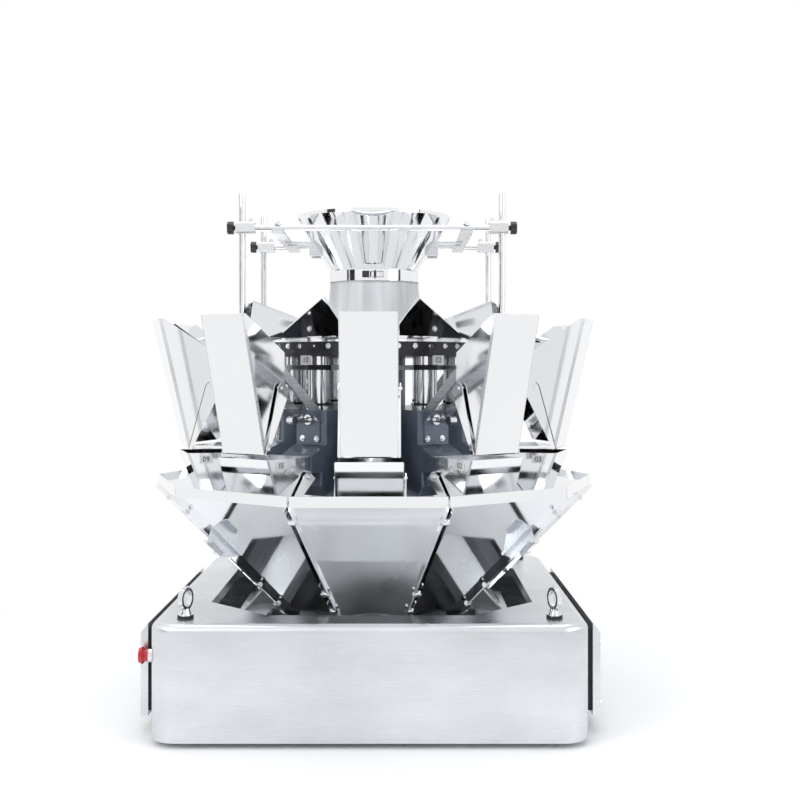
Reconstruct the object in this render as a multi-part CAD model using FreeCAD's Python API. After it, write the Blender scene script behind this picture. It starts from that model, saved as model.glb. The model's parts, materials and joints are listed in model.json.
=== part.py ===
import FreeCAD, Part
import math
import os

os.makedirs("parts", exist_ok=True)

# Ten-head combination weigher. Millimetres, +Z up, origin on the floor under
# the middle of the base. Head 1 faces -Y and the heads run round the Z axis.

V = FreeCAD.Vector

# Whole machine
HEADS = 10
PITCH = 360.0 / HEADS

# Base housing: a rounded sheet-metal box on four pads
BASE_W = 940.0
BASE_Z0 = 12.0
DECK_Z = 262.0
BASE_WALL = 4.0
CORNER_R = 60.0
EDGE_R = 18.0
OPENING_W = 744.0
OPENING_CHAMFER = 146.0
OUTLET_R = 112.0
COVER_T = 18.0
GASKET_T = 20.0
COVER_HALF = 360.0
COVER_Z0 = 38.0
COVER_Z1 = 242.0
COVER_SLOPE = 22.0
STOP_R = 19.0
STOP_Y = -386.0
STOP_Z = 178.0
FOOT_R = 40.0
FOOT_T = 8.0
EYE_R = 21.0
EYE_WIRE = 6.5
EYE_H = 70.0
EYE_TURN = 20.0

# Cross beams inside the deck opening
BEAM_W = 84.0
BEAM_H = 50.0
BEAM_X = 292.0
BEAM_TOP = 204.0

# Collecting chute: a ten-sided funnel of hooked-on panels
CHUTE_LIP_R = 540.0
CHUTE_LIP_Z = 518.0
CHUTE_LOW_R = 230.0
CHUTE_LOW_Z = 212.0
CHUTE_T = 3.0
SEAM_GAP = 4.0
FLANGE_H = 14.0
CATCH_SHARE = 0.53
CATCH_L = 96.0
CATCH_H = 34.0
LIP_H = 20.0
SPOUT_R = 106.0
SPOUT_Z0 = 20.0
SPOUT_Z1 = 95.0

# Centre column, drives and vibrators
COLUMN_R = 150.0
COLUMN_Z0 = 400.0
COLUMN_Z1 = 706.0
NECK_R = 78.0
DRIVE_W = 92.0
DRIVE_R1 = 262.0
DRIVE_Z0 = 506.0
CHIN_R1 = 300.0
CHIN_DROP = 42.0
ARM_X = 34.0
ARM_T = 6.0
VIB_R = 214.0
VIB_DIA = 54.0
VIB_Z1 = 832.0
RING_R0 = 150.0
RING_R1 = 262.0
RING_T = 12.0
RING_RIM_H = 22.0
RING_RIM_T = 8.0
LEG_W = 60.0
LEG_Y = 84.0

# Feed hoppers (upper): outer plate leans out, back plate is upright
SHEET = 2.0
FEED_W = 120.0
FEED_TOP_R = 540.0
FEED_LOW_R = FEED_TOP_R - 68.0
FEED_LOW_Z = 617.0
FEED_TOP_Z = FEED_LOW_Z + 303.0
FEED_IN_R = FEED_LOW_R - 68.0
FEED_HINGE_Z = FEED_LOW_Z + 135.0
FEED_BACK_H = 86.0

# Weigh hoppers (lower), right under the feed gates
WEIGH_W = 144.0
WEIGH_DROP = 11.0
WEIGH_TOP_R = FEED_LOW_R + 4.0
WEIGH_TOP_Z = FEED_LOW_Z - WEIGH_DROP
WEIGH_LOW_R = WEIGH_TOP_R - 48.0
WEIGH_LOW_Z = WEIGH_TOP_Z - 130.0
WEIGH_IN_R = WEIGH_LOW_R - 98.0
WEIGH_HINGE_Z = WEIGH_LOW_Z + 82.0

# Hinges and gates
GATE_GAP = 5.0
PIN_R = 4.0
PIN_CLEARANCE = 0.1
EAR_R = 13.0

# Linear feeder pans and the top cone
PAN_W0 = 64.0
PAN_W1 = 92.0
PAN_R0 = 152.0
PAN_R1 = 436.0
PAN_PEAK_R = 330.0
PAN_PEAK_Z = 962.0
PAN_IN_Z = 886.0
PAN_OUT_Z = 874.0
PAN_BACK = 36.0
PAN_FLARE = 5.0
PEDESTAL_W = 44.0
CONE_R = 166.0
CONE_Z = 896.0
CONE_H = 42.0
CONE_STEM_R = 52.0

# Infeed: sleeve, clamp band and funnel
SLEEVE_R = 114.0
SLEEVE_Z0 = 912.0
SLEEVE_Z1 = SLEEVE_Z0 + 106.0
BAND_Z1 = SLEEVE_Z1 + 26.0
FUNNEL_LOW_R = 108.0
FUNNEL_TOP_R = 193.0
FUNNEL_H = 138.0
FUNNEL_RIM = 8.0
FUNNEL_TOP_Z = BAND_Z1 + FUNNEL_H

# Infeed frame
POST_R = 8.0
POST_TIP = 4.0
POST_X = 303.0
POST_Y = 212.0
BAR_R = 7.0
BAR_Z = FUNNEL_TOP_Z - 51.0
POST_Z1 = BAR_Z + 83.0
POST_ARM_Z = 812.0
POST_ARM_T = 12.0
CLAMP_OUT = 14.0
CLAMP_IN = 30.0
CLAMP_W = 30.0
CLAMP_H = 26.0
KNOB_R = 15.0
KNOB_T = 14.0
KNOB_GAP = 6.0
SIDE_BAR_X = 220.0
SIDE_BAR_W = 28.0
SIDE_BAR_T = 6.0


def polar(r, azimuth, z=0.0):
    """Point at a radius; azimuth 0 faces -Y and grows towards +X."""
    a = math.radians(azimuth)
    return V(r * math.sin(a), -r * math.cos(a), z)


def turned(shape, azimuth):
    """A copy of a shape made for head 1, turned to another azimuth."""
    copy = shape.copy()
    copy.rotate(V(0, 0, 0), V(0, 0, 1), azimuth)
    return copy


def export(shape, name):
    """Write one node; every solid in it must be valid."""
    if not shape.isValid():
        print("invalid shape:", name)
    shape.exportStep("parts/" + name + ".step")
    print(name, len(shape.Solids), "solids", round(shape.Volume / 1000.0), "cm3")


def around(shape, azimuths):
    """One compound of copies round the axis."""
    return Part.makeCompound([turned(shape, a) for a in azimuths])


def head_azimuths():
    return [PITCH * i for i in range(HEADS)]


def prism_rz(points, x0, x1):
    """Outline in radius and height of head 1, extruded across the head."""
    ring = [V(x0, -r, z) for r, z in points]
    face = Part.Face(Part.makePolygon(ring + ring[:1]))
    return face.extrude(V(x1 - x0, 0, 0))


def box(x0, x1, y0, y1, z0, z1):
    return Part.makeBox(x1 - x0, y1 - y0, z1 - z0, V(x0, y0, z0))


def cylinder(r, start, end):
    axis = end - start
    return Part.makeCylinder(r, axis.Length, start, axis)


def fused(shapes):
    whole = shapes[0].multiFuse(shapes[1:]) if len(shapes) > 1 else shapes[0]
    return whole.removeSplitter()


def regular_ring(corner_r, z, sides=HEADS):
    """Corners of a polygon whose flats face the heads."""
    half = 180.0 / sides
    return [polar(corner_r, half + 2 * half * i, z) for i in range(sides)]


# ---------------------------------------------------------------- base

def rounded_box(width, z0, z1, corner, edge):
    block = box(-width / 2, width / 2, -width / 2, width / 2, z0, z1)
    upright = [e for e in block.Edges if abs(e.tangentAt(e.FirstParameter).z) > 0.9]
    block = block.makeFillet(corner, upright)
    top = [e for e in block.Edges if e.BoundBox.ZMin > z1 - 0.1]
    return block.makeFillet(edge, top)


def opening_outline(width, chamfer, z):
    h = width / 2
    c = h - chamfer
    corners = [(h, -c), (h, c), (c, h), (-c, h), (-h, c), (-h, -c), (-c, -h), (c, -h)]
    return [V(x, y, z) for x, y in corners]


def opening_prism(width, chamfer, z0, z1):
    ring = opening_outline(width, chamfer, z0)
    face = Part.Face(Part.makePolygon(ring + ring[:1]))
    return face.extrude(V(0, 0, z1 - z0))


def base_housing():
    """Folded and welded cover of the base, open below and in the deck."""
    outer = rounded_box(BASE_W, BASE_Z0, DECK_Z, CORNER_R, EDGE_R)
    inner = rounded_box(BASE_W - 2 * BASE_WALL, BASE_Z0 - 1, DECK_Z - BASE_WALL,
                        CORNER_R - BASE_WALL, EDGE_R - BASE_WALL)
    shell = outer.cut(inner)
    lip = opening_prism(OPENING_W + 2 * BASE_WALL, OPENING_CHAMFER, DECK_Z - 24, DECK_Z - 1)
    mouth = opening_prism(OPENING_W, OPENING_CHAMFER, DECK_Z - 30, DECK_Z + 1)
    return shell.fuse(lip).cut(mouth).removeSplitter()


def base_floor():
    """Bottom tray with the round hole that the product leaves by."""
    inset = BASE_WALL
    half = BASE_W / 2 - inset
    tray = box(-half, half, -half, half, BASE_Z0, BASE_Z0 + 5)
    upright = [e for e in tray.Edges if e.Length < 6]
    tray = tray.makeFillet(CORNER_R - BASE_WALL, upright)
    return tray.cut(Part.makeCylinder(OUTLET_R + 6, 30, V(0, 0, 0)))


def base_beams():
    """Two box beams that carry the centre frame, in line with the sides."""
    z1 = BEAM_TOP
    length = BASE_W / 2 - BASE_WALL
    solids = []
    for side in (-1, 1):
        x = side * BEAM_X
        beam = box(x - BEAM_W / 2, x + BEAM_W / 2, -length, length, z1 - BEAM_H, z1)
        bore = box(x - BEAM_W / 2 + 4, x + BEAM_W / 2 - 4, -length + 1, length - 1,
                   z1 - BEAM_H + 4, z1 - 4)
        solids.append(beam.cut(bore))
    return Part.makeCompound(solids)


def side_cover(side):
    """Shallow service cover with a sloped top, standing off the base wall."""
    x0 = BASE_W / 2 + GASKET_T
    x1 = x0 + COVER_T
    half = COVER_HALF
    profile = [V(x0, -half, COVER_Z0), V(x1, -half, COVER_Z0),
               V(x1, -half, COVER_Z1 - COVER_SLOPE), V(x0, -half, COVER_Z1)]
    cover = Part.Face(Part.makePolygon(profile + profile[:1])).extrude(V(0, 2 * half, 0))
    ends = [e for e in cover.Edges if abs(e.tangentAt(e.FirstParameter).z) > 0.9
            and e.BoundBox.XMin > x1 - 1]
    cover = cover.makeFillet(8.0, ends)
    seal = box(BASE_W / 2, x0, -half + 8, half - 8, COVER_Z0 + 10, COVER_Z1 - 12)
    if side < 0:
        cover = cover.mirror(V(0, 0, 0), V(1, 0, 0))
        seal = seal.mirror(V(0, 0, 0), V(1, 0, 0))
    return cover, seal


def emergency_stop():
    """Mushroom push button on the left wall of the base, with its collar."""
    centre = V(-BASE_W / 2, STOP_Y, STOP_Z)
    out = V(-1, 0, 0)
    collar = cylinder(STOP_R * 0.8, centre, centre + out * 12)
    neck = cylinder(STOP_R * 0.7, centre + out * 12, centre + out * 20)
    flare = Part.makeCone(STOP_R * 0.7, STOP_R, 6.0, centre + out * 20, out)
    cap = Part.makeCone(STOP_R, STOP_R * 0.86, 7.0, centre + out * 26, out)
    return collar, fused([neck, flare, cap])


def levelling_feet():
    """Round brass pads, each on a threaded stem under the tray."""
    place = BASE_W / 2 - 85.0
    solids = []
    for x in (-place, place):
        for y in (-place, place):
            pad = Part.makeCylinder(FOOT_R, FOOT_T, V(x, y, 0))
            stem = Part.makeCylinder(12.0, BASE_Z0 - FOOT_T, V(x, y, FOOT_T))
            solids.append(pad.fuse(stem).removeSplitter())
    return Part.makeCompound(solids)


def lifting_eyes():
    """Four eye bolts by the corners of the deck; each ring is made of flats."""
    place = BASE_W / 2 - 70.0
    middle = DECK_Z + EYE_H - EYE_R - EYE_WIRE
    across = [(EYE_R + EYE_WIRE * math.cos(math.radians(60 * i)),
               EYE_WIRE * math.sin(math.radians(60 * i))) for i in range(6)]
    section = [V(x, r, 0) for r, x in across]
    bead = Part.Face(Part.makePolygon(section + section[:1]))
    solids = []
    for x in (-place, place):
        for y in (-place, place):
            collar = Part.makeCylinder(15.0, 8.0, V(x, y, DECK_Z))
            neck = Part.makeCone(13.0, 9.0, middle - EYE_R - DECK_Z - 8, V(x, y, DECK_Z + 8))
            ring = bead.revolve(V(0, 0, 0), V(1, 0, 0), 360)
            ring.rotate(V(0, 0, 0), V(0, 0, 1), EYE_TURN if x > 0 else -EYE_TURN)
            ring.translate(V(x, y, middle))
            solids.append(fused([collar, neck, ring]))
    return Part.makeCompound(solids)


# ---------------------------------------------------------------- chute

def chute_panel():
    """One trapezoid panel of head 1 with side flanges and an upright lip."""
    half = math.radians(180.0 / HEADS)
    top_r = CHUTE_LIP_R * math.cos(half)
    low_r = CHUTE_LOW_R * math.cos(half)
    top_x = CHUTE_LIP_R * math.sin(half) - SEAM_GAP / 2
    low_x = CHUTE_LOW_R * math.sin(half) - SEAM_GAP / 2
    corners = [V(-top_x, -top_r, CHUTE_LIP_Z), V(-low_x, -low_r, CHUTE_LOW_Z),
               V(low_x, -low_r, CHUTE_LOW_Z), V(top_x, -top_r, CHUTE_LIP_Z)]
    run = V(0, low_r - top_r, CHUTE_LIP_Z - CHUTE_LOW_Z)
    out = V(0, -run.z, run.y)
    out.normalize()
    face = Part.Face(Part.makePolygon(corners + corners[:1]))
    pieces = [face.extrude(out * CHUTE_T)]
    for side, top, low in ((1, corners[3], corners[2]), (-1, corners[0], corners[1])):
        edge = [top, low, low + out * FLANGE_H, top + out * FLANGE_H]
        flange = Part.Face(Part.makePolygon(edge + edge[:1]))
        pieces.append(flange.extrude(V(-side * CHUTE_T, 0, 0)))
    pieces.append(box(-top_x, top_x, -top_r - CHUTE_T, -top_r, CHUTE_LIP_Z - 3, CHUTE_LIP_Z + LIP_H))
    panel = fused(pieces)
    return panel.common(box(-900, 900, -900, 0, CHUTE_LOW_Z, 900))


def chute_catch(side):
    """Folded catch plate on head 1's panel, beside its seam."""
    half = math.radians(180.0 / HEADS)
    low = V(side * CHUTE_LOW_R * math.sin(half), -CHUTE_LOW_R * math.cos(half), CHUTE_LOW_Z)
    top = V(side * CHUTE_LIP_R * math.sin(half), -CHUTE_LIP_R * math.cos(half), CHUTE_LIP_Z)
    along = (top - low).normalize()
    fall = V(0, (CHUTE_LOW_R - CHUTE_LIP_R) * math.cos(half), CHUTE_LIP_Z - CHUTE_LOW_Z)
    out = V(0, -fall.z, fall.y).normalize()
    inward = along.cross(out) * (-side)
    if inward.x * side > 0:
        inward = inward * -1
    start = low + (top - low) * CATCH_SHARE + out * CHUTE_T + inward * (SEAM_GAP / 2 + 16)
    plate = [start, start + along * CATCH_L, start + along * (CATCH_L - 12) + out * CATCH_H,
             start + along * 34 + out * CATCH_H, start + along * 6 + out * 12]
    standing = Part.Face(Part.makePolygon(plate + plate[:1])).extrude(inward * CHUTE_T)
    cap = [plate[2], plate[3], plate[3] + inward * 16 + along * 10, plate[2] + inward * 24]
    folded = Part.Face(Part.makePolygon(cap + cap[:1])).extrude(out * -CHUTE_T)
    foot = [start, plate[1], plate[1] + inward * 14, start + inward * 14]
    seat = Part.Face(Part.makePolygon(foot + foot[:1])).extrude(out * CHUTE_T)
    return fused([standing, folded, seat])


def chute_catches():
    """Four catches, on the panels next to the side panels."""
    solids = []
    for azimuth, side in ((-36, -1), (36, 1), (144, -1), (-144, 1)):
        solids += turned(chute_catch(side), azimuth).Solids
    return Part.makeCompound(solids)


def leg_outline(side, grow):
    """Sloped leg from a beam to the column, seen along Y."""
    z0 = BEAM_TOP
    foot = side * BEAM_X
    head = side * (COLUMN_R * 0.55)
    half = LEG_W / 2 + grow
    points = [(foot - half, z0), (foot + half, z0), (head + half, COLUMN_Z0 + 50),
              (head - half, COLUMN_Z0 + 50)]
    return [V(x, 0, z) for x, z in points]


def leg_prism(side, end, grow):
    ring = leg_outline(side, grow)
    face = Part.Face(Part.makePolygon(ring + ring[:1]))
    leg = face.extrude(V(0, LEG_W + 2 * grow, 0))
    leg.translate(V(0, end * LEG_Y - LEG_W / 2 - grow, 0))
    return leg


LEG_PLACES = [(side, end) for side in (-1, 1) for end in (-1, 1)]


def chute_panels():
    """Ten panels; those over the legs have a slot for each leg."""
    solids = []
    for azimuth in head_azimuths():
        panel = turned(chute_panel(), azimuth)
        for side, end in LEG_PLACES:
            panel = panel.cut(leg_prism(side, end, 6.0))
        solids += panel.Solids
    return Part.makeCompound(solids)


def chute_outlet():
    """Lower cone and spout under the panels, with a seat ring."""
    top_r = CHUTE_LOW_R - 14
    outline = [(SPOUT_R, SPOUT_Z0), (SPOUT_R + 3, SPOUT_Z0), (SPOUT_R + 3, SPOUT_Z1),
               (top_r + 4, CHUTE_LOW_Z - 4), (CHUTE_LOW_R + 14, CHUTE_LOW_Z - 4),
               (CHUTE_LOW_R + 14, CHUTE_LOW_Z), (top_r, CHUTE_LOW_Z), (SPOUT_R, SPOUT_Z1)]
    ring = [V(r, 0, z) for r, z in outline]
    face = Part.Face(Part.makePolygon(ring + ring[:1]))
    return face.revolve(V(0, 0, 0), V(0, 0, 1), 360)


def chute_saddles():
    """Plates from the beams under the seat ring of the chute."""
    solids = []
    for side in (-1, 1):
        x0 = side * (CHUTE_LOW_R - 6)
        x1 = side * BEAM_X
        solids.append(box(min(x0, x1), max(x0, x1), -40, 40, BEAM_TOP, CHUTE_LOW_Z - 4))
    return Part.makeCompound(solids)


def support_legs(column):
    legs = []
    for side, end in LEG_PLACES:
        legs += leg_prism(side, end, 0.0).cut(column).Solids[:1]
    return Part.makeCompound(legs)


# ---------------------------------------------------------------- centre body

def column():
    """Ten-sided cast column with a tapered underside."""
    low = regular_ring(COLUMN_R * 0.72, COLUMN_Z0 - 46)
    mid = regular_ring(COLUMN_R, COLUMN_Z0)
    top = regular_ring(COLUMN_R, COLUMN_Z1)
    wires = [Part.makePolygon(ring + ring[:1]) for ring in (low, mid)]
    cone = Part.makeLoft(wires, True, True)
    face = Part.Face(Part.makePolygon(mid + mid[:1]))
    body = face.extrude(top[0] - mid[0])
    neck = Part.makeCylinder(NECK_R, VIB_Z1 - COLUMN_Z1, V(0, 0, COLUMN_Z1))
    return fused([cone, body, neck])


def drive_unit(hub):
    """Cast actuator box of one head; its chin carries the weigh hopper."""
    inner_r = COLUMN_R * math.cos(math.radians(18)) - 1
    back_r = DRIVE_R1 - 16
    chin_z = WEIGH_TOP_Z - CHIN_DROP
    outline = [(inner_r, DRIVE_Z0 + 40), (DRIVE_R1 - 66, DRIVE_Z0), (DRIVE_R1 - 20, DRIVE_Z0),
               (DRIVE_R1, DRIVE_Z0 + 26), (DRIVE_R1, chin_z), (CHIN_R1 - 6, chin_z),
               (CHIN_R1, chin_z + 6), (CHIN_R1, chin_z + 34), (CHIN_R1 - 14, chin_z + 44),
               (back_r, chin_z + 62), (back_r, COLUMN_Z1), (inner_r, COLUMN_Z1)]
    body = prism_rz(outline, -DRIVE_W / 2, DRIVE_W / 2)
    upright = [e for e in body.Edges
               if e.BoundBox.YMax < -back_r + 1 and abs(e.tangentAt(e.FirstParameter).z) > 0.9]
    body = body.makeFillet(6.0, upright)
    cover = box(-DRIVE_W / 2 + 16, DRIVE_W / 2 - 16, -back_r - 3, -back_r,
                chin_z + 66, COLUMN_Z1 - 8)
    corners = [e for e in cover.Edges if abs(e.tangentAt(e.FirstParameter).y) > 0.9]
    cover = cover.makeFillet(8.0, corners)
    return body.fuse(cover).cut(hub).removeSplitter()


def gate_actuators():
    """Push shafts of one head: one for each gate, with a roller at the end."""
    back_r = DRIVE_R1 - 16
    low_z = WEIGH_TOP_Z - CHIN_DROP - 16
    high_z = COLUMN_Z1 - 22
    solids = []
    for start_r, z, reach in ((back_r + 3, high_z, 62.0), (DRIVE_R1, low_z, 26.0)):
        hub = cylinder(12.0, V(0, -start_r, z), V(0, -start_r - 8, z))
        shaft = cylinder(7.0, V(0, -start_r - 8, z), V(0, -start_r - reach, z))
        tip = -start_r - reach
        roller = cylinder(10.0, V(-9, tip, z), V(9, tip, z))
        solids.append(fused([hub, shaft, roller]))
    return Part.makeCompound(solids)


def vibrator():
    """Polished vibrator sleeve standing on the drive of one head."""
    foot = cylinder(VIB_DIA / 2 + 5, V(0, -VIB_R, COLUMN_Z1), V(0, -VIB_R, COLUMN_Z1 + 8))
    stem = cylinder(VIB_DIA / 2, V(0, -VIB_R, COLUMN_Z1 + 8), V(0, -VIB_R, VIB_Z1))
    return foot.fuse(stem).removeSplitter()


def vibrator_ring():
    """Dark ring plate on the vibrators, with a rim below its edge."""
    plate = Part.makeCylinder(RING_R1, RING_T, V(0, 0, VIB_Z1))
    top = V(0, 0, VIB_Z1 + RING_T)
    rim = Part.makeCylinder(RING_R1, RING_RIM_H, top)
    rim = rim.cut(Part.makeCylinder(RING_R1 - RING_RIM_T, RING_RIM_H, top))
    return plate.fuse(rim).removeSplitter()


def plane_z(a, b, p, x, y):
    """Height at (x, y) on the plane through three points."""
    n = (b - a).cross(p - a)
    return a.z - (n.x * (x - a.x) + n.y * (y - a.y)) / n.z


def feeder_pan():
    """Flared trough of one head: floor, two side walls that rise to a ridge."""
    tangent = math.tan(math.radians(18.0))
    z_in = PAN_IN_Z
    z_out = PAN_OUT_Z
    floor = [V(-PAN_W0 / 2, -PAN_R0, z_in), V(PAN_W0 / 2, -PAN_R0, z_in),
             V(PAN_W1 / 2, -PAN_R1, z_out), V(-PAN_W1 / 2, -PAN_R1, z_out)]
    sheets = [Part.Face(Part.makePolygon(floor + floor[:1])).extrude(V(0, 0, -SHEET))]
    for side in (-1, 1):
        a = V(side * PAN_W0 / 2, -PAN_R0, z_in)
        b = V(side * PAN_W1 / 2, -PAN_R1, z_out)
        peak = V(side * (PAN_PEAK_R * tangent - 3), -PAN_PEAK_R, PAN_PEAK_Z)
        back_r = PAN_R0 + PAN_BACK
        back_x = side * (back_r * tangent - 3)
        back = V(back_x, -back_r, plane_z(a, b, peak, back_x, -back_r))
        tip_r = FEED_IN_R - 2
        tip_x = side * (PAN_W1 / 2 + PAN_FLARE)
        tip = V(tip_x, -tip_r, plane_z(a, b, peak, tip_x, -tip_r))
        wall = [a, b, tip, peak, back]
        sheets.append(Part.Face(Part.makePolygon(wall + wall[:1])).extrude(V(0, 0, -SHEET * 1.6)))
    foot_z = VIB_Z1 + RING_T
    fall = (z_in - z_out) / (PAN_R1 - PAN_R0)
    seat = [(r, z_in - fall * (r - PAN_R0) - SHEET / 2) for r in (RING_R0 + 20, RING_R1 - 30)]
    sheets.append(prism_rz([(seat[0][0], foot_z), (seat[1][0], foot_z), seat[1], seat[0]],
                           -PEDESTAL_W / 2, PEDESTAL_W / 2))
    return fused(sheets)


def dispersion_cone():
    """Flat polished cone that spreads product to the pans, on its stem."""
    z = CONE_Z
    outline = [(0, z), (CONE_R, z), (CONE_R, z + 3), (0, z + CONE_H)]
    ring = [V(r, 0, h) for r, h in outline]
    cone = Part.Face(Part.makePolygon(ring + ring[:1])).revolve(V(0, 0, 0), V(0, 0, 1), 360)
    foot_z = VIB_Z1 + RING_T
    stem = Part.makeCylinder(CONE_STEM_R, z - foot_z, V(0, 0, foot_z))
    return cone.fuse(stem).removeSplitter()


# ---------------------------------------------------------------- hoppers

def unit(r, z):
    length = math.hypot(r, z)
    return r / length, z / length


def hopper(width, top, low, hinge_r, hinge_z, back_z, ear):
    """Open sheet hopper; its sloped lower edge is left for the gate."""
    outline = [top, low, (hinge_r, hinge_z), (hinge_r, back_z), (top[0] - 12.0, top[1])]
    outer = prism_rz(outline, -width / 2, width / 2)
    lean_r, lean_z = unit(low[0] - top[0], low[1] - top[1])
    up = 60.0
    hollow = [(top[0] - SHEET - lean_r * up, top[1] - lean_z * up),
              (low[0] - SHEET + lean_r * up, low[1] + lean_z * up),
              (hinge_r + SHEET, hinge_z - up),
              (hinge_r + SHEET, top[1] + up)]
    shell = outer.cut(prism_rz(hollow, -width / 2 + SHEET, width / 2 - SHEET))
    studs = []
    for side in (-1, 1):
        start = V(side * (width / 2 - SHEET), -ear[0], ear[1])
        studs.append(cylinder(PIN_R, start, start + V(side * (SHEET + GATE_GAP + 5), 0, 0)))
    return fused([shell] + studs)


def gate(width, low, hinge_r, hinge_z, ear):
    """Folded gate plate with two ears that turn on the hopper's studs."""
    run_r, run_z = unit(low[0] - hinge_r, low[1] - hinge_z)
    down_r, down_z = run_z, -run_r
    if down_z > 0:
        down_r, down_z = -down_r, -down_z

    def place(along, below):
        base = math.hypot(low[0] - hinge_r, low[1] - hinge_z)
        s = along * base
        return (hinge_r + run_r * s + down_r * below, hinge_z + run_z * s + down_z * below)

    half = width / 2 + GATE_GAP + SHEET
    plate = prism_rz([place(-0.04, GATE_GAP), place(1.0, GATE_GAP),
                      place(1.0, GATE_GAP + SHEET), place(-0.04, GATE_GAP + SHEET)], -half, half)
    pieces = [plate]
    for side in (-1, 1):
        x0 = side * half
        x1 = side * (half - SHEET)
        cheek = [place(-0.04, GATE_GAP + SHEET), place(1.0, GATE_GAP + SHEET),
                 place(1.0, GATE_GAP - 4), (ear[0] + EAR_R, ear[1] + EAR_R * 0.3),
                 (ear[0] - EAR_R * 0.6, ear[1] + EAR_R * 0.7)]
        pieces.append(prism_rz(cheek, min(x0, x1), max(x0, x1)))
        rim = [(ear[0] + EAR_R * math.cos(math.radians(45 * i + 22.5)),
                ear[1] + EAR_R * math.sin(math.radians(45 * i + 22.5))) for i in range(8)]
        pieces.append(prism_rz(rim, min(x0, x1), max(x0, x1)))
    body = fused(pieces)
    bore = cylinder(PIN_R + PIN_CLEARANCE, V(-half - 1, -ear[0], ear[1]), V(half + 1, -ear[0], ear[1]))
    return body.cut(bore)


FEED_TOP = (FEED_TOP_R, FEED_TOP_Z)
FEED_LOW = (FEED_LOW_R, FEED_LOW_Z)
FEED_EAR = (FEED_IN_R + 14, FEED_HINGE_Z + 8)
WEIGH_TOP = (WEIGH_TOP_R, WEIGH_TOP_Z)
WEIGH_LOW = (WEIGH_LOW_R, WEIGH_LOW_Z)
WEIGH_EAR = (WEIGH_IN_R + 16, WEIGH_HINGE_Z + 2)


def feed_hopper():
    back_z = FEED_HINGE_Z + FEED_BACK_H
    return hopper(FEED_W, FEED_TOP, FEED_LOW, FEED_IN_R, FEED_HINGE_Z, back_z, FEED_EAR)


def weigh_hopper():
    back_z = WEIGH_TOP_Z - 1
    return hopper(WEIGH_W, WEIGH_TOP, WEIGH_LOW, WEIGH_IN_R, WEIGH_HINGE_Z, back_z, WEIGH_EAR)


def feed_gate():
    return gate(FEED_W, FEED_LOW, FEED_IN_R, FEED_HINGE_Z, FEED_EAR)


def weigh_gate():
    return gate(WEIGH_W, WEIGH_LOW, WEIGH_IN_R, WEIGH_HINGE_Z, WEIGH_EAR)


def hopper_arms():
    """Pairs of flat hangers from a drive unit to its two hoppers."""
    reach = DRIVE_R1 - 16
    top = COLUMN_Z1 - 4
    back = FEED_HINGE_Z + FEED_BACK_H
    feed = [(reach, top - 26), (reach, top), (FEED_IN_R, back - 10), (FEED_IN_R, back - 40)]
    weigh = [(CHIN_R1, WEIGH_TOP_Z - 30), (CHIN_R1, WEIGH_TOP_Z - 12),
             (WEIGH_IN_R, WEIGH_TOP_Z - 12), (WEIGH_IN_R, WEIGH_TOP_Z - 30)]
    solids = []
    for x in (-ARM_X, ARM_X):
        solids.append(prism_rz(feed, x - ARM_T / 2, x + ARM_T / 2))
        solids.append(prism_rz(weigh, x - ARM_T / 2, x + ARM_T / 2))
    return Part.makeCompound(solids)


# ---------------------------------------------------------------- infeed

def tube_z(outline):
    """Revolved wall from (radius, height) points."""
    ring = [V(r, 0, z) for r, z in outline]
    return Part.Face(Part.makePolygon(ring + ring[:1])).revolve(V(0, 0, 0), V(0, 0, 1), 360)


def infeed_sleeve():
    r = SLEEVE_R
    return tube_z([(r - 3, SLEEVE_Z0), (r, SLEEVE_Z0), (r - 3, SLEEVE_Z1), (r - 6, SLEEVE_Z1)])


def clamp_band():
    """Band that joins sleeve and funnel, with a toggle latch in front."""
    r = FUNNEL_LOW_R
    band = tube_z([(r, SLEEVE_Z1), (r + 5, SLEEVE_Z1), (r + 5, BAND_Z1), (r, BAND_Z1)])
    latch = box(-30, 30, -r - 16, -r - 2, SLEEVE_Z1 + 4, BAND_Z1 - 4)
    inner = Part.makeCylinder(r, 60, V(0, 0, SLEEVE_Z1 - 10))
    return band.fuse(latch.cut(inner)).removeSplitter()


def funnel_wall_r(z):
    """Outer radius of the funnel's cone at a height."""
    share = (z - BAND_Z1) / (FUNNEL_H - FUNNEL_RIM)
    return FUNNEL_LOW_R + share * (FUNNEL_TOP_R - FUNNEL_LOW_R)


def infeed_funnel():
    """Conical funnel with an upright rim, let into the clamp band."""
    r0 = FUNNEL_LOW_R
    r1 = FUNNEL_TOP_R
    rim_z = FUNNEL_TOP_Z - FUNNEL_RIM
    socket_z = BAND_Z1 - 18
    return tube_z([(r0 - SHEET, socket_z), (r0, socket_z), (r0, BAND_Z1), (r1, rim_z),
                   (r1, FUNNEL_TOP_Z), (r1 - SHEET, FUNNEL_TOP_Z), (r1 - SHEET, rim_z),
                   (r0 - SHEET, BAND_Z1)])


def post_places():
    return [(x, y) for x in (-POST_X, POST_X) for y in (-POST_Y, POST_Y)]


def frame_posts():
    """Four plain upright rods with softened tops."""
    z0 = POST_ARM_Z
    solids = []
    for x, y in post_places():
        rod = Part.makeCylinder(POST_R, POST_Z1 - POST_TIP - z0, V(x, y, z0))
        tip = Part.makeCone(POST_R, POST_R - POST_TIP, POST_TIP, V(x, y, POST_Z1 - POST_TIP))
        solids.append(rod.fuse(tip))
    return Part.makeCompound(solids)


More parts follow.
